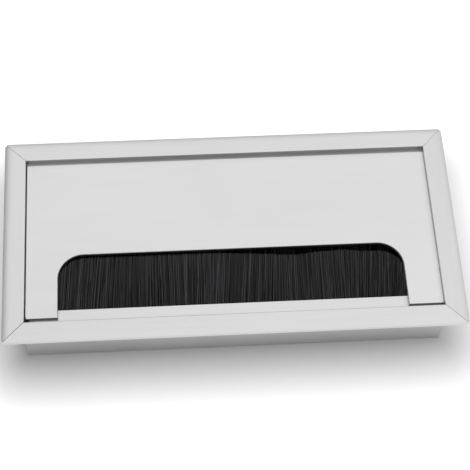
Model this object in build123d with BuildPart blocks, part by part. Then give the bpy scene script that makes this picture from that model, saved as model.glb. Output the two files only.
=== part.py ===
from build123d import *
import os

# Frame: four lengths of one extrusion, with Z = 0 on the desk top
frame_length = 160.0
frame_width = 80.0
frame_height = 25.0
flange_thickness = 1.4
flange_overhang = 6.7
wall_thickness = 0.9
crown_width = 3.0
crown_drop = 0.6
lip_radius = 0.25
inner_edge_radius = 0.2
mitre_tip_cut = 1.1

# Ledge under the lid, and the channel below it for the corner keys
ledge_width = 5.4
ledge_thickness = 1.0
channel_height = 5.0
channel_lip_height = 1.2
channel_wall = 0.9

# Corner keys
key_leg = 20.0
key_fit = 0.05
key_tooth_height = 0.4
key_tooth_pitch = 3.0
key_tooth_count = 4

# Lid
lid_thickness = 1.5
lid_recess = 1.6
lid_side_gap = 0.3
lid_end_gap = 1.3
lid_corner_radius = 0.5
lid_edge_break = 0.3
leg_width = 11.5
notch_depth = 24.8
notch_radius = 9.0

# Groove under the lid that holds the brush
groove_wall = 1.2
groove_floor = 1.0
groove_hook_thickness = 0.8
groove_hook_height = 0.8
groove_end_gap = 1.5
brush_setback = 1.8
brush_fit = 0.05

# Strip brush
backing_depth = 5.0
backing_height = 4.8
backing_sheet = 0.6
backing_end_gap = 1.8
core_wire_diameter = 1.4
filament_thickness = 3.0
filament_end_margin = 0.5
tip_gap = 0.3
tip_side_gap = 0.8
tuft_count = 120
tuft_layers = 3
tuft_layer_gap = 0.1
tuft_stagger = 0.5
tuft_root_share = 0.86
tuft_tip_share = 0.6
splay_power = 3

# Heights
flange_top = flange_thickness
wall_foot = flange_top - frame_height
lid_top = flange_top - lid_recess
ledge_top = lid_top - lid_thickness
ledge_under = ledge_top - ledge_thickness
shelf_top = ledge_under - channel_height
shelf_under = shelf_top - channel_wall

# Distances inwards from the flange's outer edge
wall_inside = flange_overhang + wall_thickness
ledge_tip = wall_inside + ledge_width
channel_inside = ledge_tip - channel_wall

os.makedirs("parts", exist_ok=True)


def make_rail(label, turn, span, reach):
    inward = Vector(0, 1, 0).rotate(Axis.Z, turn)
    along = inward.cross(Vector(0, 0, 1))
    with BuildPart() as rail:
        with BuildSketch(Plane(origin=inward * -reach, x_dir=inward, z_dir=along)) as section:
            with BuildLine():
                crown = TangentArc((crown_width, flange_top), (0, flange_top - crown_drop), tangent=(-1, 0))
                Polyline(
                    crown @ 1,
                    (0, 0),
                    (flange_overhang, 0),
                    (flange_overhang, wall_foot),
                    (wall_inside, wall_foot),
                    (wall_inside, shelf_under),
                    (ledge_tip, shelf_under),
                    (ledge_tip, shelf_top + channel_lip_height),
                    (channel_inside, shelf_top + channel_lip_height),
                    (channel_inside, shelf_top),
                    (wall_inside, shelf_top),
                    (wall_inside, ledge_under),
                    (channel_inside, ledge_under),
                    (channel_inside, ledge_under - channel_lip_height),
                    (ledge_tip, ledge_under - channel_lip_height),
                    (ledge_tip, ledge_top),
                    (wall_inside, ledge_top),
                    (wall_inside, flange_top),
                    crown @ 0,
                )
            make_face()
            fillet(section.vertices().group_by(Axis.X)[0], radius=lip_radius)
            fillet(section.vertices().group_by(Axis.Y)[-1].sort_by(Axis.X)[-1], radius=inner_edge_radius)
        extrude(amount=span / 2, both=True)
        for end in (along, along * -1):
            corner = inward * -reach + end * (span / 2)
            split(bisect_by=Plane(origin=corner, z_dir=end + inward), keep=Keep.BOTTOM)
            split(bisect_by=Plane(origin=corner - end * mitre_tip_cut, z_dir=end - inward), keep=Keep.BOTTOM)
    rail.part.label = label
    export_step(rail.part, f"parts/{label}.step")


make_rail("rail_front", 0, frame_length, frame_width / 2)
make_rail("rail_right", 90, frame_width, frame_length / 2)
make_rail("rail_rear", 180, frame_length, frame_width / 2)
make_rail("rail_left", 270, frame_width, frame_length / 2)

# Corner key: an L whose barbs grip the channel's lips
key_width = channel_inside - wall_inside - 2 * key_fit - key_tooth_height
key_height = channel_height - 2 * key_fit
key_crest = key_width + key_tooth_height
barbs = []
for tooth in range(key_tooth_count):
    tooth_start = key_leg - tooth * key_tooth_pitch
    barbs.append((tooth_start, key_width))
    barbs.append((tooth_start - key_tooth_pitch, key_crest))
barbs_end = (key_leg - key_tooth_count * key_tooth_pitch, key_width)
key_half = [(key_leg, 0), *barbs, barbs_end, (key_width, key_width)]
key_outline = [(0, 0), *key_half, *[(b, a) for a, b in reversed(key_half[:-1])]]


def make_corner_key(label, turn, corner_x, corner_y):
    along = Vector(1, 0, 0).rotate(Axis.Z, turn)
    across = Vector(0, 1, 0).rotate(Axis.Z, turn)
    channel_corner = Vector(corner_x, corner_y, shelf_top) + (along + across) * (wall_inside + key_fit)
    with BuildPart() as corner_key:
        with BuildSketch(Plane(origin=channel_corner, x_dir=along, z_dir=(0, 0, 1)).offset(key_fit)):
            with BuildLine():
                Polyline(*key_outline, close=True)
            make_face()
        extrude(amount=key_height)
    corner_key.part.label = label
    export_step(corner_key.part, f"parts/{label}.step")


make_corner_key("corner_key_front_left", 0, -frame_length / 2, -frame_width / 2)
make_corner_key("corner_key_front_right", 90, frame_length / 2, -frame_width / 2)
make_corner_key("corner_key_rear_right", 180, frame_length / 2, frame_width / 2)
make_corner_key("corner_key_rear_left", 270, -frame_length / 2, frame_width / 2)

# Lid: a plate with a notch for the cables, and a brush groove underneath that opens to the front
lid_length = frame_length - 2 * (wall_inside + lid_side_gap)
lid_width = frame_width - 2 * (wall_inside + lid_end_gap)
lid_front = -lid_width / 2
notch_width = lid_length - 2 * leg_width
notch_rear = lid_front + notch_depth
groove_mouth = notch_rear + brush_setback
groove_length = frame_length - 2 * (ledge_tip + groove_end_gap)
groove_height = backing_height + 2 * brush_fit
backing_front = groove_mouth + groove_hook_thickness + brush_fit
backing_rear = backing_front + backing_depth
groove_inside = backing_rear + brush_fit
groove_floor_top = ledge_top - groove_height

with BuildPart() as lid:
    with BuildSketch(Plane.XY.offset(ledge_top)) as plate:
        Rectangle(lid_length, lid_width)
        fillet(plate.vertices(), radius=lid_corner_radius)
        with Locations((0, lid_front)):
            RectangleRounded(notch_width, 2 * notch_depth, notch_radius, mode=Mode.SUBTRACT)
    extrude(amount=lid_thickness)
    chamfer(lid.faces().sort_by(Axis.Z)[-1].edges(), length=lid_edge_break)
    with BuildSketch(Plane.YZ):
        with BuildLine():
            Polyline(
                (groove_inside, ledge_top),
                (groove_inside, groove_floor_top),
                (groove_mouth + groove_hook_thickness, groove_floor_top),
                (groove_mouth + groove_hook_thickness, groove_floor_top + groove_hook_height),
                (groove_mouth, groove_floor_top + groove_hook_height),
                (groove_mouth, groove_floor_top - groove_floor),
                (groove_inside + groove_wall, groove_floor_top - groove_floor),
                (groove_inside + groove_wall, ledge_top),
                close=True,
            )
        make_face()
    extrude(amount=groove_length / 2, both=True)
lid.part.label = "lid"
export_step(lid.part, "parts/lid.step")

# Backing of the brush: folded strip with its mouth to the front, crimped to the filaments
brush_height = groove_floor_top + groove_height / 2
backing_length = groove_length - 2 * backing_end_gap
cavity_height = backing_height - 2 * backing_sheet
cavity_depth = backing_depth - 2 * backing_sheet
backing_middle = backing_front + backing_depth / 2

with BuildPart() as brush_backing:
    with BuildSketch(Plane.YZ):
        with Locations((backing_middle, brush_height)):
            Rectangle(backing_depth, backing_height)
            Rectangle(cavity_depth, cavity_height, mode=Mode.SUBTRACT)
        with Locations((backing_front, brush_height)):
            Rectangle(2 * backing_sheet, filament_thickness + 2 * brush_fit, mode=Mode.SUBTRACT)
    extrude(amount=backing_length / 2, both=True)
brush_backing.part.label = "brush_backing"
export_step(brush_backing.part, "parts/brush_backing.step")

with BuildPart() as brush_core_wire:
    with BuildSketch(Plane.YZ):
        with Locations((backing_middle, brush_height)):
            Circle(core_wire_diameter / 2)
    extrude(amount=backing_length / 2, both=True)
brush_core_wire.part.label = "brush_core_wire"
export_step(brush_core_wire.part, "parts/brush_core_wire.step")

# Filaments: folded round the wire inside the backing, then layers of tufts that splay at both ends
root_half = backing_length / 2 - filament_end_margin
tuft_root = backing_front
tuft_tip = ledge_tip - frame_width / 2 + tip_gap
tuft_pitch = 2 * root_half / (tuft_count + tuft_stagger)
tuft_spread = frame_length / 2 - ledge_tip - tip_side_gap - root_half
tuft_layer = (filament_thickness - (tuft_layers - 1) * tuft_layer_gap) / tuft_layers
fold_width = cavity_depth - 2 * brush_fit
fold_height = cavity_height - 2 * brush_fit


def tuft_outline(shift):
    root_reach = tuft_root_share * tuft_pitch / 2
    tip_reach = tuft_tip_share * tuft_pitch / 2
    outline = [(-root_half, backing_middle)]
    for tuft in range(tuft_count):
        root_x = (tuft + shift) * tuft_pitch + tuft_pitch / 2 - root_half
        tip_x = root_x + tuft_spread * (root_x / root_half) ** splay_power
        outline.append((root_x - root_reach, tuft_root))
        outline.append((tip_x - tip_reach, tuft_tip))
        outline.append((tip_x + tip_reach, tuft_tip))
        outline.append((root_x + root_reach, tuft_root))
    outline.append((root_half, backing_middle))
    return outline


with BuildPart() as bristles:
    with BuildSketch(Plane.YZ):
        with Locations((backing_middle, brush_height)):
            Rectangle(fold_width, fold_height)
    extrude(amount=root_half, both=True)
    for layer in range(tuft_layers):
        layer_floor = brush_height - filament_thickness / 2 + layer * (tuft_layer + tuft_layer_gap)
        with BuildSketch(Plane.XY.offset(layer_floor)):
            with BuildLine():
                Polyline(*tuft_outline(layer % 2 * tuft_stagger), close=True)
            make_face()
        extrude(amount=tuft_layer)
    with BuildSketch(Plane.YZ):
        with Locations((backing_middle, brush_height)):
            Circle(core_wire_diameter / 2 + brush_fit)
    extrude(amount=root_half, both=True, mode=Mode.SUBTRACT)
bristles.part.label = "bristles"
export_step(bristles.part, "parts/bristles.step")
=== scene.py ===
import math

import bmesh
import bpy
import numpy as np
from mathutils import Matrix, Vector


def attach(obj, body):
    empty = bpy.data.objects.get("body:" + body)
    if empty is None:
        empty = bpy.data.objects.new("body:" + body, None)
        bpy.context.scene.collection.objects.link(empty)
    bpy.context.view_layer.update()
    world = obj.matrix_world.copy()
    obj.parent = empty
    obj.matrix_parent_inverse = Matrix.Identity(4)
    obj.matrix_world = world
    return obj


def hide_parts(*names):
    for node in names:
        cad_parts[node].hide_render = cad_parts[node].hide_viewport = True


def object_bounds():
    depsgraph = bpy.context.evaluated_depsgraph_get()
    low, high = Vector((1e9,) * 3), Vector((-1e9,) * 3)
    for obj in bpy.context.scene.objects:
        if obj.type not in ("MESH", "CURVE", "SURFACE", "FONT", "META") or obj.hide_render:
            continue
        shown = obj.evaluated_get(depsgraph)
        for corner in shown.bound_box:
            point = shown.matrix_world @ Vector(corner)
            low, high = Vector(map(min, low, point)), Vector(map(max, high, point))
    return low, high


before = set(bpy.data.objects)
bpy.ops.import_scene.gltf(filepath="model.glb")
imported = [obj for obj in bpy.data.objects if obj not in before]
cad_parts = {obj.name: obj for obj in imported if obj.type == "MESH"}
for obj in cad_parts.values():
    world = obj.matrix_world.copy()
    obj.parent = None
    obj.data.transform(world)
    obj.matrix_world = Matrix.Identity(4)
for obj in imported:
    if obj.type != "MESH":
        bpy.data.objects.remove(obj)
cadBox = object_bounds()
mm = 0.001
slack = 0.002  # places in mm that are closer than this count as one
aligned = 0.9  # a face looks along an axis when its normal has this share of it
sharpBend = 40  # degrees past which an edge is one to round
print("frame loaded:", len(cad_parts), "nodes")


def clearSelection():
    if bpy.context.mode != "OBJECT":
        bpy.ops.object.mode_set(mode="OBJECT")
    bpy.ops.object.select_all(action="DESELECT")


def chooseOnly(piece):
    clearSelection()
    piece.select_set(True)
    bpy.context.view_layer.objects.active = piece


def openMesh(piece):
    chooseOnly(piece)
    bpy.ops.object.mode_set(mode="EDIT")
    bpy.ops.mesh.select_all(action="DESELECT")


def closeMesh():
    bpy.ops.object.mode_set(mode="OBJECT")


# a new primitive gets its name and its place in the mesh, and stays open for shaping
def startPiece(name):
    piece = bpy.context.object
    piece.name = piece.data.name = name
    bpy.ops.object.transform_apply(location=True, rotation=True, scale=True)
    openMesh(piece)
    return piece


def addBlock(name, low, high):
    clearSelection()
    middle = [(a + b) / 2 * mm for a, b in zip(low, high)]
    bpy.ops.mesh.primitive_cube_add(size=1, location=middle)
    bpy.context.object.scale = [(b - a) * mm for a, b in zip(low, high)]
    return startPiece(name)


def addRod(name, sides, width, length, middle, turn):
    clearSelection()
    bpy.ops.mesh.primitive_cylinder_add(vertices=sides, radius=width / 2 * mm, depth=length * mm,
                                        location=[v * mm for v in middle], rotation=turn)
    return startPiece(name)


# faces are picked by the place of their middle in mm and by their normal
def pickFaces(piece, test):
    bpy.ops.mesh.select_mode(type="FACE")
    bpy.ops.mesh.select_all(action="DESELECT")
    mesh = bmesh.from_edit_mesh(piece.data)
    mesh.normal_update()
    for face in mesh.faces:
        face.select_set(bool(test(face.calc_center_median() / mm, face.normal)))
    mesh.select_flush_mode()
    bmesh.update_edit_mesh(piece.data)


# edges are picked by their two ends in mm and by the angle between their faces
def pickEdges(piece, test):
    bpy.ops.mesh.select_mode(type="EDGE")
    bpy.ops.mesh.select_all(action="DESELECT")
    mesh = bmesh.from_edit_mesh(piece.data)
    mesh.normal_update()
    for edge in mesh.edges:
        bend = math.degrees(edge.calc_face_angle(0))
        edge.select_set(bool(test(edge.verts[0].co / mm, edge.verts[1].co / mm, bend)))
    bmesh.update_edit_mesh(piece.data)


def near(a, b):
    return abs(a - b) < slack


def runsAlongX(a, b):
    return near(a.y, b.y) and near(a.z, b.z)


def standsUpright(a, b):
    return near(a.x, b.x) and near(a.y, b.y)


def pull(x=0, y=0, z=0):
    bpy.ops.mesh.extrude_region_move(TRANSFORM_OT_translate={"value": (x * mm, y * mm, z * mm)})


def cut(point, normal, trim=False):
    bpy.ops.mesh.bisect(plane_co=[v * mm for v in point], plane_no=normal, use_fill=trim,
                        clear_outer=trim, threshold=1e-8)


def cutAll(point, normal, trim=False):
    bpy.ops.mesh.select_all(action="SELECT")
    cut(point, normal, trim)


def roundEdges(size, steps):
    bpy.ops.mesh.bevel(offset=size * mm, offset_type="OFFSET", segments=steps, profile=0.5, affect="EDGES")


# flat faces keep their own normal and only the rounded edges blend
def smoothPiece(piece, angle=35):
    chooseOnly(piece)
    bpy.ops.object.shade_smooth_by_angle(angle=math.radians(angle))
    weighted = piece.modifiers.new("flatFaces", "WEIGHTED_NORMAL")
    weighted.keep_sharp = True
    bpy.ops.object.modifier_apply(modifier=weighted.name)


def finishPiece(piece, node, material):
    piece.data.materials.clear()
    piece.data.materials.append(material)
    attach(piece, "root")
    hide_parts(node)


# materials: each noise in a look has its scale and detail, each bump its strength and depth in mm

evenly = (1, 1, 1)  # a noise with no grain to it
noiseSpan = (0.3, 0.7)  # most of a noise lies between these
wholeSpan = (0, 1)


def startMaterial(name):
    material = bpy.data.materials.new(name)
    material.use_nodes = True
    nodes = material.node_tree.nodes
    links = material.node_tree.links
    return material, nodes, links, nodes["Principled BSDF"]


def addNoise(nodes, links, place, stretch, scale, detail):
    mapping = nodes.new("ShaderNodeMapping")
    mapping.inputs["Scale"].default_value = stretch
    noise = nodes.new("ShaderNodeTexNoise")
    noise.inputs["Scale"].default_value = scale
    noise.inputs["Detail"].default_value = detail
    links.new(place.outputs["Object"], mapping.inputs["Vector"])
    links.new(mapping.outputs["Vector"], noise.inputs["Vector"])
    return noise.outputs["Fac"]


def addRamp(nodes, links, factor, low, high, span=noiseSpan):
    ramp = nodes.new("ShaderNodeValToRGB")
    for stop, position, color in zip(ramp.color_ramp.elements, span, (low, high)):
        stop.position = position
        stop.color = (*color, 1)
    links.new(factor, ramp.inputs["Fac"])
    return ramp.outputs["Color"]


def addRange(nodes, links, factor, low, high, span=noiseSpan):
    limits = nodes.new("ShaderNodeMapRange")
    for socket, value in zip(("From Min", "From Max", "To Min", "To Max"), (*span, low, high)):
        limits.inputs[socket].default_value = value
    links.new(factor, limits.inputs["Value"])
    return limits.outputs["Result"]


def addBump(nodes, links, height, strength, depth, under=None):
    bump = nodes.new("ShaderNodeBump")
    bump.inputs["Strength"].default_value = strength
    bump.inputs["Distance"].default_value = depth * mm
    links.new(height, bump.inputs["Height"])
    if under:
        links.new(under, bump.inputs["Normal"])
    return bump.outputs["Normal"]


def joinValues(nodes, links, kind, first, second):
    joint = nodes.new("ShaderNodeMath")
    joint.operation = kind
    links.new(first, joint.inputs[0])
    links.new(second, joint.inputs[1])
    return joint.outputs["Value"]


def dropSign(nodes, links, value):
    absolute = nodes.new("ShaderNodeMath")
    absolute.operation = "ABSOLUTE"
    links.new(value, absolute.inputs[0])
    return absolute.outputs["Value"]


def scaleColor(nodes, links, color, share):
    scaled = nodes.new("ShaderNodeVectorMath")
    scaled.operation = "SCALE"
    links.new(color, scaled.inputs[0])
    links.new(share, scaled.inputs["Scale"])
    return scaled.outputs["Vector"]


# the place and the normal of a point, each split into X, Y and Z
def splitPlace(nodes, links, place):
    parts = []
    for kind in ("Object", "Normal"):
        split = nodes.new("ShaderNodeSeparateXYZ")
        links.new(place.outputs[kind], split.inputs["Vector"])
        parts.append(split.outputs)
    return parts


# satin silver anodising over fine die lines that run along the bar; the places are in mm
anodisedLook = {
    "dark": (0.675, 0.676, 0.678), "light": (0.700, 0.701, 0.702), "rough": (0.40, 0.48),
    "lineStretch": 0.02, "dieLines": (2600, 3), "etching": (4200, 2), "drift": (18, 2),
    "lineBump": (0.10, 0.02), "etchBump": (0.12, 0.02),
    # painted shade on the lid's cut faces: its share, its turn and the places it covers
    "cutShadeShare": 0.25, "cutShadeTurn": (0.3, 0.98),
    "notchSide": (61.5, 61.9), "notchBack": (-5.6, -5.2), "legEnd": (-30.4, -30.0),
    # painted shade on the ledge in the gap beside the lid: its height and its turn
    "gapShadeTop": (-1.0, -0.6), "gapShadeTurn": (0.5, 0.9),
}


def placeSpan(name):
    return [v * mm for v in anodisedLook[name]]


# the notch and the ends of the legs are saw cuts; their faces are painted darker than the rest, as painted
# shade
def paintCutFaceShade(nodes, links, place, silver):
    spot, facing = splitPlace(nodes, links, place)
    across = addRange(nodes, links, dropSign(nodes, links, facing["Y"]), 0, 1, anodisedLook["cutShadeTurn"])
    beside = addRange(nodes, links, dropSign(nodes, links, spot["X"]), 1, 0, placeSpan("notchSide"))
    before = addRange(nodes, links, spot["Y"], 1, 0, placeSpan("notchBack"))
    legEnd = addRange(nodes, links, spot["Y"], 1, 0, placeSpan("legEnd"))
    inNotch = joinValues(nodes, links, "MULTIPLY", beside, before)
    cutFaces = joinValues(nodes, links, "MAXIMUM", inNotch, legEnd)
    shadedCuts = joinValues(nodes, links, "MULTIPLY", across, cutFaces)
    share = addRange(nodes, links, shadedCuts, 1, anodisedLook["cutShadeShare"], wholeSpan)
    return scaleColor(nodes, links, silver, share)


# painted shade: the upward faces of the ledge, low in the gap beside the lid, keep only a share of their
# colour
def paintGapShade(nodes, links, place, silver, gapLitShare):
    spot, facing = splitPlace(nodes, links, place)
    low = addRange(nodes, links, spot["Z"], 1, 0, placeSpan("gapShadeTop"))
    upward = addRange(nodes, links, facing["Z"], 0, 1, anodisedLook["gapShadeTurn"])
    gapShadeMask = joinValues(nodes, links, "MULTIPLY", low, upward)
    return scaleColor(nodes, links, silver, addRange(nodes, links, gapShadeMask, 1, gapLitShare, wholeSpan))


def satinAnodised(name, along, tone, shadedCuts=False, gapLitShare=1):
    look = anodisedLook
    material, nodes, links, shader = startMaterial(name)
    dark, light = [[v * tone for v in look[end]] for end in ("dark", "light")]
    place = nodes.new("ShaderNodeTexCoord")
    alongBar = (look["lineStretch"], 1, 1) if along == "x" else (1, look["lineStretch"], 1)
    dieLines = addNoise(nodes, links, place, alongBar, *look["dieLines"])
    etching = addNoise(nodes, links, place, evenly, *look["etching"])
    drift = addNoise(nodes, links, place, evenly, *look["drift"])
    silver = addRamp(nodes, links, drift, dark, light)
    # painted shade on the cut faces of the notch and the leg ends
    if shadedCuts:
        silver = paintCutFaceShade(nodes, links, place, silver)
    # painted shade on the ledge in the gap beside the lid
    if gapLitShare < 1:
        silver = paintGapShade(nodes, links, place, silver, gapLitShare)
    links.new(silver, shader.inputs["Base Color"])
    links.new(addRange(nodes, links, dieLines, *look["rough"]), shader.inputs["Roughness"])
    lines = addBump(nodes, links, dieLines, *look["lineBump"])
    links.new(addBump(nodes, links, etching, *look["etchBump"], lines), shader.inputs["Normal"])
    shader.inputs["Metallic"].default_value = 1.0
    return material


# black nylon thread: each strand has its own tone, kept in the strandTone attribute
threadLook = {
    "dark": (0.0022, 0.0019, 0.0023), "light": (0.071, 0.0643, 0.0748), "rough": (0.16, 0.24),
    "drawnStretch": (1, 0.04, 1), "drawn": (3000, 2), "gloss": 0.47,
}


def blackThread():
    look = threadLook
    material, nodes, links, shader = startMaterial("blackNylonThread")
    tone = nodes.new("ShaderNodeAttribute")
    tone.attribute_name = "strandTone"
    place = nodes.new("ShaderNodeTexCoord")
    drawn = addNoise(nodes, links, place, look["drawnStretch"], *look["drawn"])
    black = addRamp(nodes, links, tone.outputs["Fac"], look["dark"], look["light"], wholeSpan)
    links.new(black, shader.inputs["Base Color"])
    links.new(addRange(nodes, links, drawn, *look["rough"]), shader.inputs["Roughness"])
    shader.inputs["Specular IOR Level"].default_value = look["gloss"]
    return material


keyLook = {
    "dark": (0.018, 0.018, 0.019), "light": (0.030, 0.030, 0.032), "rough": (0.42, 0.58),
    "grain": (2200, 3), "bump": (0.25, 0.03),
}


def mouldedNylon():
    look = keyLook
    material, nodes, links, shader = startMaterial("mouldedKeyNylon")
    place = nodes.new("ShaderNodeTexCoord")
    grain = addNoise(nodes, links, place, evenly, *look["grain"])
    links.new(addRamp(nodes, links, grain, look["dark"], look["light"]), shader.inputs["Base Color"])
    links.new(addRange(nodes, links, grain, *look["rough"]), shader.inputs["Roughness"])
    links.new(addBump(nodes, links, grain, *look["bump"]), shader.inputs["Normal"])
    return material


zincLook = {
    "dark": (0.50, 0.51, 0.52), "light": (0.66, 0.67, 0.68), "rough": (0.28, 0.42),
    "crystalScale": 420, "crystalSpan": (0.1, 0.9),
    "drawnStretch": (0.03, 1, 1), "drawn": (3200, 2), "bump": (0.15, 0.02),
}


def zincPlate():
    look = zincLook
    material, nodes, links, shader = startMaterial("zincPlatedSteel")
    place = nodes.new("ShaderNodeTexCoord")
    crystals = nodes.new("ShaderNodeTexVoronoi")
    crystals.inputs["Scale"].default_value = look["crystalScale"]
    links.new(place.outputs["Object"], crystals.inputs["Vector"])
    zinc = addRamp(nodes, links, crystals.outputs["Color"], look["dark"], look["light"], look["crystalSpan"])
    links.new(zinc, shader.inputs["Base Color"])
    drawn = addNoise(nodes, links, place, look["drawnStretch"], *look["drawn"])
    links.new(addRange(nodes, links, drawn, *look["rough"]), shader.inputs["Roughness"])
    links.new(addBump(nodes, links, drawn, *look["bump"]), shader.inputs["Normal"])
    shader.inputs["Metallic"].default_value = 1.0
    return material


threadMaterial = blackThread()
keyMaterial = mouldedNylon()
zincMaterial = zincPlate()
for nodeName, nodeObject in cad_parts.items():
    if nodeName.startswith("corner_key"):
        nodeObject.data.materials.clear()
        nodeObject.data.materials.append(keyMaterial)
print("materials made")


# pieces: their sizes and places are in mm, and each round has its size and its steps

# frame rails: one bar is modelled, then copied, mitred and turned into place
barSizes = {
    "length": 170.0, "flangeTop": 1.4, "overhang": 6.7, "wallInside": 7.6, "foot": -23.6,
    "crownWidth": 3.0, "crownDrop": 0.6, "crownSteps": 9,
    "ledgeTop": -1.7, "ledgeUnder": -2.7, "shelfTop": -7.7, "shelfUnder": -8.6,
    "ledgeTip": 13.0, "lipInside": 12.1, "lipHeight": 1.2,
    "lipRound": (0.15, 3), "edgeRound": (0.08, 2),
}


# crown of the flange: strips of the top, each let down onto one arc
def crownFlange(bar, s):
    radius = (s["crownWidth"] ** 2 + s["crownDrop"] ** 2) / (2 * s["crownDrop"])
    for step in range(1, s["crownSteps"] + 1):
        pickFaces(bar, lambda c, n: (n.z > aligned and c.y < s["overhang"])
                  or (abs(n.x) > aligned and c.z > 0))
        cut((0, s["crownWidth"] * step / s["crownSteps"], 0), (0, 1, 0))
    for step in range(s["crownSteps"]):
        fromEdge = s["crownWidth"] * step / s["crownSteps"]
        drop = radius - math.sqrt(radius ** 2 - (s["crownWidth"] - fromEdge) ** 2)
        pickEdges(bar, lambda a, b, bend: runsAlongX(a, b) and near(a.y, fromEdge)
                  and near(a.z, s["flangeTop"]))
        bpy.ops.transform.translate(value=(0, 0, -drop * mm))


def modelBar(s):
    half = s["length"] / 2
    bar = addBlock("railBar", (-half, 0, 0), (half, s["wallInside"], s["flangeTop"]))
    cutAll((0, s["overhang"], 0), (0, 1, 0))
    pickFaces(bar, lambda c, n: n.z < -aligned and c.y > s["overhang"])
    pull(z=s["foot"])
    for level in ("ledgeTop", "ledgeUnder", "shelfTop", "shelfUnder"):
        cutAll((0, 0, s[level]), (0, 0, 1))
    # lid ledge and the shelf below it
    pickFaces(bar, lambda c, n: n.y > aligned and (s["ledgeUnder"] < c.z < s["ledgeTop"]
                                                   or s["shelfUnder"] < c.z < s["shelfTop"]))
    pull(y=s["ledgeTip"] - s["wallInside"])
    # the two lips that hold the corner keys in
    cutAll((0, s["lipInside"], 0), (0, 1, 0))
    pickFaces(bar, lambda c, n: n.z < -aligned and c.y > s["lipInside"] and near(c.z, s["ledgeUnder"]))
    pull(z=-s["lipHeight"])
    pickFaces(bar, lambda c, n: n.z > aligned and c.y > s["lipInside"] and near(c.z, s["shelfTop"]))
    pull(z=s["lipHeight"])
    crownFlange(bar, s)
    pickEdges(bar, lambda a, b, bend: bend > sharpBend and runsAlongX(a, b) and near(a.y, 0))
    roundEdges(*s["lipRound"])
    # the inner edge of the flange is left for each rail
    pickEdges(bar, lambda a, b, bend: bend > sharpBend and runsAlongX(a, b) and a.y > s["crownWidth"]
              and not near(a.z, s["flangeTop"]))
    roundEdges(*s["edgeRound"])
    closeMesh()
    return bar


# setBack: how far along the bar a cut moves for each mm that a joint stands open
mitreSizes = {"tipCut": 1.1, "setBack": 0.7, "endBend": 25, "edgeRound": (0.05, 1)}
# each rail: its CAD node, length, distance from the middle, turn, opening of its joints, round of its
# inner edge, how light it is (the right rail's lower tone is painted shade) and how much of its colour its
# ledge keeps under the painted shade in the gap beside the lid
railTable = {
    "railFront": {"node": "rail_front", "span": 160.0, "reach": 40.0, "turn": 0, "gaps": (0.14, 0.07),
                  "innerRound": (0.34, 4), "tone": 1.0, "gapLitShare": 1},
    # the right rail's lower tone is painted shade
    "railRight": {"node": "rail_right", "span": 80.0, "reach": 80.0, "turn": 90, "gaps": (0.07, 0.04),
                  "innerRound": (0.08, 4), "tone": 0.965, "gapLitShare": 1},
    "railRear": {"node": "rail_rear", "span": 160.0, "reach": 40.0, "turn": 180, "gaps": (0.04, 0.06),
                 "innerRound": (0.18, 4), "tone": 1.0, "gapLitShare": 0.75},
    "railLeft": {"node": "rail_left", "span": 80.0, "reach": 80.0, "turn": 270, "gaps": (0.06, 0.14),
                 "innerRound": (0.18, 4), "tone": 1.0, "gapLitShare": 0.05},
}


def copyBar(bar, name):
    piece = bar.copy()
    piece.data = bar.data.copy()
    piece.name = piece.data.name = name
    bpy.context.collection.objects.link(piece)
    return piece


def mitreRail(bar, name, rail):
    piece = copyBar(bar, name)
    openMesh(piece)
    pickEdges(piece, lambda a, b, bend: bend > sharpBend and runsAlongX(a, b)
              and a.y > barSizes["crownWidth"] and near(a.z, barSizes["flangeTop"]))
    roundEdges(*rail["innerRound"])
    half = rail["span"] / 2
    for side, gap in zip((-1, 1), rail["gaps"]):
        cutAll((side * (half - gap * mitreSizes["setBack"]), 0, 0), (side, 1, 0), trim=True)
        cutAll((side * (half - mitreSizes["tipCut"]), 0, 0), (side, -1, 0), trim=True)
    # every edge round the two cut ends
    pickEdges(piece, lambda a, b, bend: bend > mitreSizes["endBend"] and not runsAlongX(a, b))
    roundEdges(*mitreSizes["edgeRound"])
    closeMesh()
    turn = Matrix.Rotation(math.radians(rail["turn"]), 4, "Z")
    piece.matrix_world = turn @ Matrix.Translation((0, -rail["reach"] * mm, 0))
    chooseOnly(piece)
    bpy.ops.object.transform_apply(location=True, rotation=True, scale=True)
    smoothPiece(piece)
    along = "x" if rail["turn"] % 180 == 0 else "y"
    finish = satinAnodised(name + "Anodised", along, rail["tone"], gapLitShare=rail["gapLitShare"])
    finishPiece(piece, rail["node"], finish)


railBar = modelBar(barSizes)
for railName, railRow in railTable.items():
    mitreRail(railBar, railName, railRow)
bpy.data.objects.remove(railBar)
print("rails modelled")


# lid: notched plate with the brush groove pulled out of its underside; it lies loose, nearer to the right
lidSizes = {
    "left": -72.03, "right": 72.385, "front": -31.1, "rear": 31.1, "top": -0.2, "under": -1.7,
    "leftLegEnd": -30.6, "rightLegEnd": -31.05, "cornerSize": 0.5, "cornerSteps": 4,
    "notchLeft": -60.95, "notchRight": 60.08, "notchRear": -6.3, "notchRound": 9.0, "notchSteps": 20,
    "cutterMargin": 3.0,
    "grooveHalf": 65.5, "grooveMouth": -4.5, "hookRear": -3.7, "hookTop": -5.8,
    "grooveFloor": -6.6, "grooveUnder": -7.6, "webFront": 1.4, "webRear": 2.6,
    "notchEdgeRound": (0.42, 5), "topRound": (0.12, 3), "edgeRound": (0.1, 2), "tone": 1.03,
}


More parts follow.
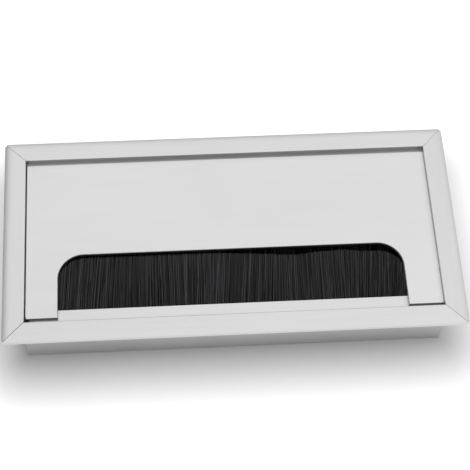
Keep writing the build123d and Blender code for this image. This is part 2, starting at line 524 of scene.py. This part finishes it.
def cutNotch(plate, s):
    cutter = addBlock("notchCutter", (s["notchLeft"], 2 * s["front"], s["under"] - s["cutterMargin"]),
                      (s["notchRight"], s["notchRear"], s["top"] + s["cutterMargin"]))
    pickEdges(cutter, lambda a, b, bend: standsUpright(a, b) and near(a.y, s["notchRear"]))
    roundEdges(s["notchRound"], s["notchSteps"])
    chooseOnly(plate)
    notch = plate.modifiers.new("notch", "BOOLEAN")
    notch.operation = "DIFFERENCE"
    notch.solver = "EXACT"
    notch.object = cutter
    bpy.ops.object.modifier_apply(modifier=notch.name)
    bpy.data.objects.remove(cutter)
    openMesh(plate)


# the two legs are not cut to quite the same length
def trimLegs(plate, s):
    endsBefore = s["front"] + s["cornerSize"] + slack
    for leg, side in (("leftLegEnd", -1), ("rightLegEnd", 1)):
        pickEdges(plate, lambda a, b, bend: max(a.y, b.y) < endsBefore and a.x * side > 0)
        bpy.ops.transform.translate(value=(0, (s[leg] - s["front"]) * mm, 0))


# groove: web down from the plate, floor forward from the web, hook up from the floor
def pullGroove(plate, s):
    def onUnderside(c, n):
        return n.z < -aligned and near(c.z, s["under"])

    for place in (s["grooveHalf"], -s["grooveHalf"]):
        pickFaces(plate, onUnderside)
        cut((place, 0, 0), (1, 0, 0))
    for place in (s["webFront"], s["webRear"]):
        pickFaces(plate, onUnderside)
        cut((0, place, 0), (0, 1, 0))
    pickFaces(plate, lambda c, n: onUnderside(c, n) and abs(c.x) < s["grooveHalf"]
              and s["webFront"] < c.y < s["webRear"])
    pull(z=s["grooveUnder"] - s["under"])
    pickFaces(plate, lambda c, n: c.z < s["under"] - slack)
    cut((0, 0, s["grooveFloor"]), (0, 0, 1))
    pickFaces(plate, lambda c, n: n.y < -aligned and c.z < s["grooveFloor"])
    pull(y=s["grooveMouth"] - s["webFront"])
    pickFaces(plate, lambda c, n: c.z < s["grooveFloor"] + slack and c.y < s["webFront"] - slack)
    cut((0, s["hookRear"], 0), (0, 1, 0))
    pickFaces(plate, lambda c, n: n.z > aligned and near(c.z, s["grooveFloor"]) and c.y < s["hookRear"])
    pull(z=s["hookTop"] - s["grooveFloor"])


# the edge that cables rub on is eased more than the rest
def easeLid(plate, s):
    def atTop(a, b, bend):
        return bend > sharpBend and near(a.z, s["top"]) and near(b.z, s["top"])

    pickEdges(plate, lambda a, b, bend: atTop(a, b, bend) and max(a.y, b.y) < s["notchRear"] + slack)
    roundEdges(*s["notchEdgeRound"])
    pickEdges(plate, atTop)
    roundEdges(*s["topRound"])
    pickEdges(plate, lambda a, b, bend: bend > sharpBend and max(a.z, b.z) < s["under"] + slack)
    roundEdges(*s["edgeRound"])


def modelLid(s):
    plate = addBlock("lidPlate", (s["left"], s["front"], s["under"]), (s["right"], s["rear"], s["top"]))
    pickEdges(plate, lambda a, b, bend: standsUpright(a, b))
    roundEdges(s["cornerSize"], s["cornerSteps"])
    cutNotch(plate, s)
    trimLegs(plate, s)
    pullGroove(plate, s)
    easeLid(plate, s)
    closeMesh()
    smoothPiece(plate)
    finish = satinAnodised("lidAnodised", "x", s["tone"], shadedCuts=True)
    finishPiece(plate, "lid", finish)


modelLid(lidSizes)
print("lid modelled")


# folded steel channel of the brush
channelSizes = {
    "half": 63.7, "front": -3.65, "rear": 1.35, "top": -1.75, "bottom": -6.55, "sheet": 0.6, "lip": 0.25,
    "foldRound": (0.45, 4), "edgeRound": (0.08, 1),
}


def modelChannel(s):
    channel = addBlock("brushChannel", (-s["half"], s["rear"] - s["sheet"], s["bottom"]),
                       (s["half"], s["rear"], s["top"]))
    underTop = s["top"] - s["sheet"]
    overBottom = s["bottom"] + s["sheet"]
    cutAll((0, 0, underTop), (0, 0, 1))
    cutAll((0, 0, overBottom), (0, 0, 1))
    pickFaces(channel, lambda c, n: n.y < -aligned and not overBottom < c.z < underTop)
    pull(y=s["front"] - s["rear"] + s["sheet"])
    # lips pressed in against the filaments
    lipRear = s["front"] + s["sheet"]
    cutAll((0, lipRear, 0), (0, 1, 0))
    middle = (s["top"] + s["bottom"]) / 2
    for side in (1, -1):
        pickFaces(channel, lambda c, n: n.z * side < -aligned and c.y < lipRear
                  and (c.z - middle) * side > 0)
        pull(z=-side * s["lip"])
    pickEdges(channel, lambda a, b, bend: bend > sharpBend and runsAlongX(a, b) and near(a.y, s["rear"]))
    roundEdges(*s["foldRound"])
    pickEdges(channel, lambda a, b, bend: bend > sharpBend)
    roundEdges(*s["edgeRound"])
    closeMesh()
    smoothPiece(channel)
    finishPiece(channel, "brush_backing", zincMaterial)


# core wire in the channel
wireSizes = {"half": 63.7, "middle": (0, -1.15, -4.15), "width": 1.4, "sides": 32, "endRound": (0.2, 3)}


def modelWire(s):
    wire = addRod("brushWire", s["sides"], s["width"], 2 * s["half"], s["middle"], (0, math.pi / 2, 0))
    pickEdges(wire, lambda a, b, bend: bend > sharpBend)
    roundEdges(*s["endRound"])
    closeMesh()
    smoothPiece(wire)
    finishPiece(wire, "brush_core_wire", zincMaterial)


modelChannel(channelSizes)
modelWire(wireSizes)
print("brush channel and wire modelled")


# brush: one thread is modelled, repeated in rows and layers, then combed into tufts
brushSizes = {
    "rootHalf": 63.2, "rootY": -3.5, "rootTop": -2.65, "rootBottom": -5.65, "tipY": -26.9, "tipSpread": 0.22,
    "thread": 0.26, "sides": 4, "tipShare": 0.9, "smoothAngle": 100,
    "columns": 640, "layers": 6, "looseLayers": 3, "calm": 0.2, "tuft": 2, "seed": 7,
    "rootJitter": 0.45, "depthJitter": (0.1, 0.9), "depthPower": 1.5, "tonePower": 4,
    "sweep": -1.2, "draw": -0.6, "wave": 1.05, "wavePlace": 4.1, "waveLength": 50.6,
    "spread": 1.0, "spreadPower": 9,
    "gather": 0.15, "lean": 0.20, "sway": 0.13, "lift": 0.05, "stray": 0.8, "strayShare": 0.05,
    "ragged": 0.12, "cornerShare": 0.25, "cornerReach": 7.0,
    "foldRear": 0.6, "foldOverlap": 0.2, "foldRound": (1.3, 5),
}
# swell of the pack from root to tip: share of the length, upper and lower face, then the shares of the
# hollow's depth and of its reach
brushSwell = ((0, -2.65, -5.65, 0.8, 0), (0.073, -1.85, -5.65, 1, 0), (0.116, -1.80, -5.7, 1, 1),
              (0.146, -1.76, -5.75, 0, 1), (1, -1.76, -6.0, 0, 0))
# hollow where the upper threads lie slack: place along the notch, reach forward and depth
brushHollow = ((-6, 0, 1.0), (0, 0.4, 3.0), (8, 0.95, 3.0), (23, 2.1, 3.0), (31, 1.2, 3.0), (40, 0.75, 3.0),
               (46, 1.55, 3.0), (55, 1.9, 3.0), (60, 1.1, 2.0))


def modelThread(s):
    length = s["rootY"] - s["tipY"]
    middle = (0, (s["rootY"] + s["tipY"]) / 2, 0)
    thread = addRod("brushThreads", s["sides"], s["thread"], length, middle, (math.pi / 2, 0, 0))
    ringPlaces = [s["rootY"] - length * ring[0] for ring in brushSwell[1:-1]]
    for place in ringPlaces:
        cutAll((0, place, 0), (0, 1, 0))
    pickFaces(thread, lambda c, n: n.y < -aligned)
    bpy.ops.transform.resize(value=(s["tipShare"], 1, s["tipShare"]))
    pickFaces(thread, lambda c, n: abs(n.y) > aligned)
    bpy.ops.mesh.mark_sharp()
    # the bend out of the hollow catches the light at once
    pickEdges(thread, lambda a, b, bend: near(a.y, ringPlaces[-1]) and near(b.y, ringPlaces[-1]))
    bpy.ops.mesh.mark_sharp()
    closeMesh()
    return thread


# the copies start in one place, and combThreads spreads them
def repeatThread(thread, count):
    row = thread.modifiers.new("row", "ARRAY")
    row.count = count
    row.use_relative_offset = False
    row.use_constant_offset = True
    row.constant_offset_displace = (0, 0, 0)
    chooseOnly(thread)
    bpy.ops.object.modifier_apply(modifier=row.name)


# how far the notch's edge lies in front of its rear edge, in its rounded corners
def cornerDrop(x, lid):
    middle = (lid["notchLeft"] + lid["notchRight"]) / 2
    past = np.abs(x - middle) - (lid["notchRight"] - middle) + lid["notchRound"]
    past = np.clip(past, 0, lid["notchRound"])
    return lid["notchRound"] - np.sqrt(lid["notchRound"] ** 2 - past ** 2)


# roots stand evenly in the mouth of the channel, a few to a tuft
def plantRoots(s, dice, count):
    index = np.arange(count)
    layer = index // s["columns"]
    place = index % s["columns"]
    tuftsPerLayer = s["columns"] // s["tuft"] + 1
    tuft = (place + dice.integers(0, s["tuft"], count)) // s["tuft"] + tuftsPerLayer * layer
    jitter = dice.uniform(-s["rootJitter"], s["rootJitter"], count)
    rootX = ((place + 0.5 + jitter) / s["columns"] * 2 - 1) * s["rootHalf"]
    depth = ((layer + dice.uniform(*s["depthJitter"], count)) / s["layers"]) ** s["depthPower"]
    free = np.where(layer < s["looseLayers"], 1, s["calm"])  # the lower layers hardly sway
    return tuft, tuftsPerLayer * s["layers"], rootX, depth, free


# the whole pack is combed to the left, in slow waves, and the outermost threads splay
def fanOut(s, rootX):
    wave = np.cos(2 * np.pi * (rootX - s["wavePlace"]) / s["waveLength"])
    outward = rootX / s["rootHalf"]
    return s["sweep"] - s["wave"] * wave + s["draw"] * outward + s["spread"] * outward ** s["spreadPower"]


def combThreads(thread, s, count):
    dice = np.random.default_rng(s["seed"])
    points = np.empty(len(thread.data.vertices) * 3)
    thread.data.vertices.foreach_get("co", points)
    points = points.reshape(count, -1, 3) / mm
    share = (s["rootY"] - points[:, :, 1]) / (s["rootY"] - s["tipY"])
    tuft, tuftCount, rootX, depth, free = plantRoots(s, dice, count)
    fan = fanOut(s, rootX)
    # tufts draw together towards the tips and lean a little, and a few threads go astray
    members = np.bincount(tuft, minlength=tuftCount)
    tuftMiddle = np.bincount(tuft, weights=rootX, minlength=tuftCount) / np.maximum(members, 1)
    gather = dice.uniform(0, s["gather"], tuftCount)
    lean = dice.normal(0, s["lean"], tuftCount)
    lift = dice.normal(0, s["lift"], tuftCount)
    sway = free * ((tuftMiddle[tuft] - rootX) * gather[tuft] + lean[tuft] + dice.normal(0, s["sway"], count))
    stray = (dice.uniform(0, 1, count) < s["strayShare"]) * dice.normal(0, s["stray"], count)
    bow = free * dice.normal(0, s["sway"], count)
    rise = lift[tuft] + dice.normal(0, s["lift"], count)
    combed = (fan + sway + stray)[:, None] * share
    points[:, :, 0] += rootX[:, None] + combed + bow[:, None] * np.sin(np.pi * share)
    # the pack swells in front of the channel, with the hollow along the notch's edge
    rings, *faces = zip(*brushSwell)
    upper, lower, slackShare, drift = [np.interp(share, rings, face) for face in faces]
    places, *hollow = zip(*brushHollow)
    reach, sink = [np.interp(rootX, places, row) for row in hollow]
    corner = np.minimum(cornerDrop(rootX + fan * s["cornerShare"], lidSizes), s["cornerReach"])
    reach = reach + corner + dice.normal(0, s["ragged"], tuftCount)[tuft]
    upper = upper - sink[:, None] * slackShare
    points[:, :, 2] += upper + (lower - upper) * depth[:, None] + rise[:, None] * share
    points[:, :, 1] += dice.uniform(0, s["tipSpread"], count)[:, None] * share - reach[:, None] * drift
    thread.data.vertices.foreach_set("co", (points * mm).ravel())
    # few threads are light
    tones = thread.data.attributes.new("strandTone", "FLOAT", "POINT")
    strandTone = dice.uniform(0, 1, count) ** s["tonePower"]
    tones.data.foreach_set("value", np.repeat(strandTone, points.shape[1]))
    thread.data.update()


# the fold of the threads behind the wire, seen only at the ends of the channel
def modelFold(s):
    fold = addBlock("threadFold", (-s["rootHalf"], s["rootY"] - s["foldOverlap"], s["rootBottom"]),
                    (s["rootHalf"], s["foldRear"], s["rootTop"]))
    pickEdges(fold, lambda a, b, bend: runsAlongX(a, b) and near(a.y, s["foldRear"]))
    roundEdges(*s["foldRound"])
    closeMesh()
    return fold


brushThreads = modelThread(brushSizes)
threadCount = brushSizes["columns"] * brushSizes["layers"]
repeatThread(brushThreads, threadCount)
combThreads(brushThreads, brushSizes, threadCount)
threadFold = modelFold(brushSizes)
chooseOnly(brushThreads)
threadFold.select_set(True)
bpy.ops.object.join()
bpy.ops.object.shade_smooth_by_angle(angle=math.radians(brushSizes["smoothAngle"]))
finishPiece(brushThreads, "bristles", threadMaterial)
print("brush modelled:", threadCount, "threads")


# stage: pale floor, soft studio light and the camera of the photograph
stageLook = {
    "floorColor": (0.60, 0.60, 0.60), "floorRough": 0.9, "floorGloss": 0.1, "floorSize": 4.0,
    # the floor's glow is lower near the footprint: a painted shadow round the object
    "glowNear": 0.0, "glow": 0.75, "glowFade": 25.0, "footprint": (73.3, 33.3, 0),
    "sky": 0.17, "horizon": (0.04, 0.12), "wall": 0.65, "wallTurn": (-0.1, 0.45), "wallTop": (0.5, 0.85),
}


def seenByEye(nodes, links):
    path = nodes.new("ShaderNodeLightPath").outputs
    mirrored = joinValues(nodes, links, "MAXIMUM", path["Is Glossy Ray"], path["Is Transmission Ray"])
    return joinValues(nodes, links, "MAXIMUM", path["Is Camera Ray"], mirrored)


def stepVector(nodes, links, kind, vector, other=(0, 0, 0)):
    step = nodes.new("ShaderNodeVectorMath")
    step.operation = kind
    step.inputs[1].default_value = other
    links.new(vector, step.inputs[0])
    return step.outputs


# the floor's own white fades out beside the object, so that the shadow at its foot stays; the fade itself is
# a painted shadow, darker towards the object, and the front wall mirrors it
def addGlowAndPaintedShadow(nodes, links):
    place = nodes.new("ShaderNodeTexCoord").outputs["Object"]
    footprint = [v * mm for v in stageLook["footprint"]]
    apart = stepVector(nodes, links, "ABSOLUTE", place)["Vector"]
    outside = stepVector(nodes, links, "SUBTRACT", apart, footprint)["Vector"]
    beyond = stepVector(nodes, links, "MAXIMUM", outside)["Vector"]
    distance = stepVector(nodes, links, "LENGTH", beyond)["Value"]
    fade = (0, stageLook["glowFade"] * mm)
    return addRange(nodes, links, distance, stageLook["glowNear"], stageLook["glow"], fade)


def makeFloor():
    clearSelection()
    bpy.ops.mesh.primitive_plane_add(size=stageLook["floorSize"], location=(0, 0, cadBox[0].z))
    floor = bpy.context.object
    floor.name = "studioFloor"
    material, nodes, links, shader = startMaterial("paleFloor")
    shader.inputs["Base Color"].default_value = (*stageLook["floorColor"], 1)
    shader.inputs["Roughness"].default_value = stageLook["floorRough"]
    shader.inputs["Specular IOR Level"].default_value = stageLook["floorGloss"]
    shader.inputs["Emission Color"].default_value = (1, 1, 1, 1)
    glow = joinValues(nodes, links, "MULTIPLY", seenByEye(nodes, links), addGlowAndPaintedShadow(nodes, links))
    links.new(glow, shader.inputs["Emission Strength"])
    floor.data.materials.append(material)


# soft sky, with a white horizon and a pale wall behind the camera where the eye or a reflection meets them
def makeSky():
    world = bpy.data.worlds.new("studioSky")
    bpy.context.scene.world = world
    world.use_nodes = True
    nodes, links = world.node_tree.nodes, world.node_tree.links
    lit = nodes["Background"]
    white = nodes.new("ShaderNodeBackground")
    for background, strength in ((lit, stageLook["sky"]), (white, 1.0)):
        background.inputs["Color"].default_value = (1, 1, 1, 1)
        background.inputs["Strength"].default_value = strength
    direction = nodes.new("ShaderNodeTexCoord")
    toward = nodes.new("ShaderNodeSeparateXYZ")
    links.new(direction.outputs["Generated"], toward.inputs["Vector"])
    horizon = addRange(nodes, links, toward.outputs["Z"], 1, 0, stageLook["horizon"])
    wallTurn = addRange(nodes, links, toward.outputs["Y"], stageLook["wall"], 0, stageLook["wallTurn"])
    wallTop = addRange(nodes, links, toward.outputs["Z"], 1, 0, stageLook["wallTop"])
    wall = joinValues(nodes, links, "MULTIPLY", wallTurn, wallTop)
    pale = joinValues(nodes, links, "MAXIMUM", horizon, wall)
    mix = nodes.new("ShaderNodeMixShader")
    links.new(joinValues(nodes, links, "MULTIPLY", pale, seenByEye(nodes, links)), mix.inputs["Fac"])
    links.new(lit.outputs["Background"], mix.inputs[1])
    links.new(white.outputs["Background"], mix.inputs[2])
    links.new(mix.outputs["Shader"], nodes["World Output"].inputs["Surface"])


# a turn that looks from one place in metres to another
def lookAt(place, aim):
    return (aim - place).to_track_quat("-Z", "Y")


# lamp: place and aim in mm, size in metres, power in watts
lampSpot = {"place": (440, 775, 900), "aim": (440, 775, 0), "size": (2.4, 3.15), "power": 22.0}


def makeLamp():
    light = bpy.data.lights.new("overheadSoftbox", "AREA")
    light.shape = "RECTANGLE"
    light.size, light.size_y = lampSpot["size"]
    light.energy = lampSpot["power"]
    holder = bpy.data.objects.new("overheadSoftbox", light)
    holder.location = Vector(lampSpot["place"]) * mm
    holder.rotation_euler = lookAt(holder.location, Vector(lampSpot["aim"]) * mm).to_euler()
    bpy.context.collection.objects.link(holder)


# camera: place and aim in mm, roll in degrees, lens and sensor in mm, nearest sight in metres
cameraSpot = {
    "place": (-23.538, -251.170, 447.298), "aim": (1.417, -1.774, 1.400), "roll": 2.692,
    "lens": 111.126, "sensor": 36, "nearest": 0.01,
}


def makeCamera():
    lens = bpy.data.cameras.new("photoCamera")
    lens.lens = cameraSpot["lens"]
    lens.sensor_width = cameraSpot["sensor"]
    lens.clip_start = cameraSpot["nearest"]
    camera = bpy.data.objects.new("photoCamera", lens)
    place = Vector(cameraSpot["place"]) * mm
    look = lookAt(place, Vector(cameraSpot["aim"]) * mm).to_matrix().to_4x4()
    roll = Matrix.Rotation(math.radians(cameraSpot["roll"]), 4, "Z")
    camera.matrix_world = Matrix.Translation(place) @ look @ roll
    bpy.context.collection.objects.link(camera)
    bpy.context.scene.camera = camera


makeFloor()
makeSky()
makeLamp()
makeCamera()
bpy.context.scene.view_settings.view_transform = "Standard"
print("stage set")
